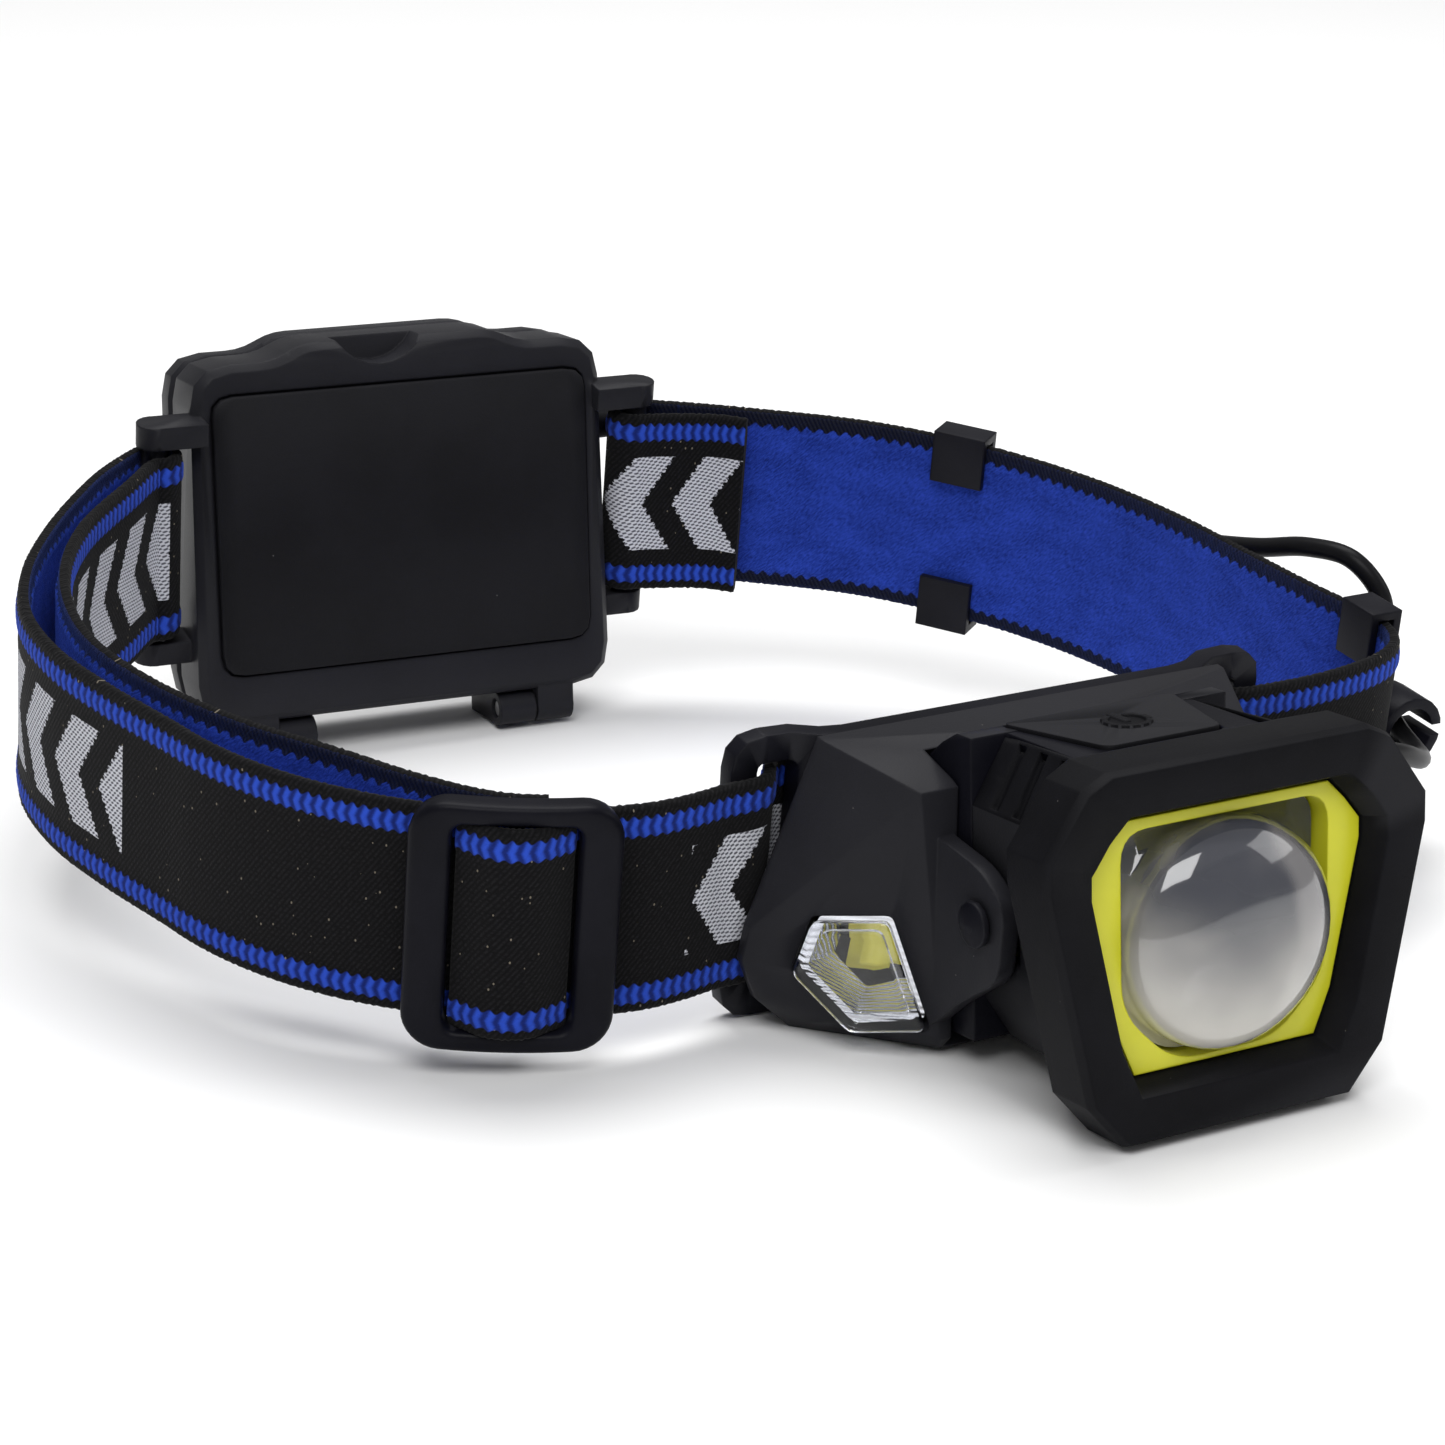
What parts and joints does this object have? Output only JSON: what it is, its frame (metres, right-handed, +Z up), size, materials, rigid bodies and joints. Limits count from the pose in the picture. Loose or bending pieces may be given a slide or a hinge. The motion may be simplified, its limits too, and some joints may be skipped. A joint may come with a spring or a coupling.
{
  "type": "headlamp",
  "caption": "Headlamp with a tilting, focusing lamp head and two side lights on an elastic headband, wired to a rear battery box with a hinged door.",
  "frame": {"origin": "bottom centre of the box around everything but the cable, on the surface it lies on", "axes": "+Z up, -Y the way the lamp faces, +X the wearer's left"},
  "size_m": [0.1638, 0.172, 0.0548],
  "materials": {
    "satin_plastic": "satin black moulded plastic",
    "soft_rubber": "matte black soft-touch rubber",
    "clear_lens": "clear polished acrylic",
    "reflector": "vacuum-metallised plastic",
    "led_yellow": "yellow phosphor under clear resin",
    "yellow_plastic": "bright yellow-green moulded plastic, semi-gloss",
    "circuit_board": "green solder mask",
    "bare_metal": "plain extruded",
    "spring_steel": "nickel-plated",
    "cell_wrap": "printed shrink sleeve, plain",
    "elastic_band": "black woven elastic with blue stripes outside, blue pile inside",
    "cable_jacket": "smooth black cable jacket"
  },
  "bodies": {
    "headband": {"bracket_plate": "satin_plastic", "front_housing": "satin_plastic", "side_lens_right": "clear_lens", "side_lens_left": "clear_lens", "side_reflector_right": "reflector", "side_reflector_left": "reflector", "side_led_right": "led_yellow", "side_led_left": "led_yellow", "pivot_pin_right": "satin_plastic", "pivot_pin_left": "satin_plastic", "battery_base": "satin_plastic", "pad_panel": "soft_rubber", "hinge_pin_right": "spring_steel", "hinge_pin_left": "spring_steel", "cell_tray": "satin_plastic", "strain_relief_rear": "soft_rubber", "cell_1": "cell_wrap", "cell_2": "cell_wrap", "cell_3": "cell_wrap", "contact_spring_1": "spring_steel", "contact_spring_2": "spring_steel", "contact_spring_3": "spring_steel", "contact_strip_right": "spring_steel", "contact_strip_left": "spring_steel", "band_right_side": "elastic_band", "band_behind_bracket": "elastic_band", "band_left_outer": "elastic_band", "band_left_inner": "elastic_band", "band_sewn_tail": "elastic_band", "cable_clip_rear": "satin_plastic", "cable_clip_front": "satin_plastic", "power_cable": "cable_jacket"},
    "lamp_head": {"head_core": "satin_plastic", "heat_sink": "bare_metal", "led_board": "circuit_board", "main_led": "led_yellow", "driver_board": "circuit_board"},
    "focus_ring": {"focus_sleeve": "soft_rubber", "focus_barrel": "yellow_plastic", "main_lens": "clear_lens"},
    "button": {"power_button": "soft_rubber"},
    "door": {"battery_door": "satin_plastic", "door_seal": "soft_rubber"},
    "buckle": {"band_buckle": "satin_plastic", "band_buckle_loop": "elastic_band"}
  },
  "joints": [
    {"name": "head_tilt", "type": "hinge", "parent": "headband", "child": "lamp_head", "pos_m": [0.00953, -0.06333, 0.01955], "axis": [1, 0, 0], "range_deg": [-6, 55]},
    {"name": "focus_slide", "type": "slide", "parent": "lamp_head", "child": "focus_ring", "axis": [0, -0.9963, 0.0865], "range_m": [0, 0.004]},
    {"name": "button_press", "type": "slide", "parent": "lamp_head", "child": "button", "axis": [0, -0.0865, -0.9963], "range_m": [0, 0.0008], "stiffness_N_per_m": 800},
    {"name": "door_hinge", "type": "hinge", "parent": "headband", "child": "door", "pos_m": [-0.01503, 0.06661, 0.00304], "axis": [-0.9956, 0.0935, 0.0107], "range_deg": [0, 100]},
    {"name": "buckle_slide", "type": "hinge", "parent": "headband", "child": "buckle", "pos_m": [-0.03207, 0.00574, 0.02284], "axis": [0, -0.1139, 0.9935], "range_deg": [-25, 6]}
  ]
}
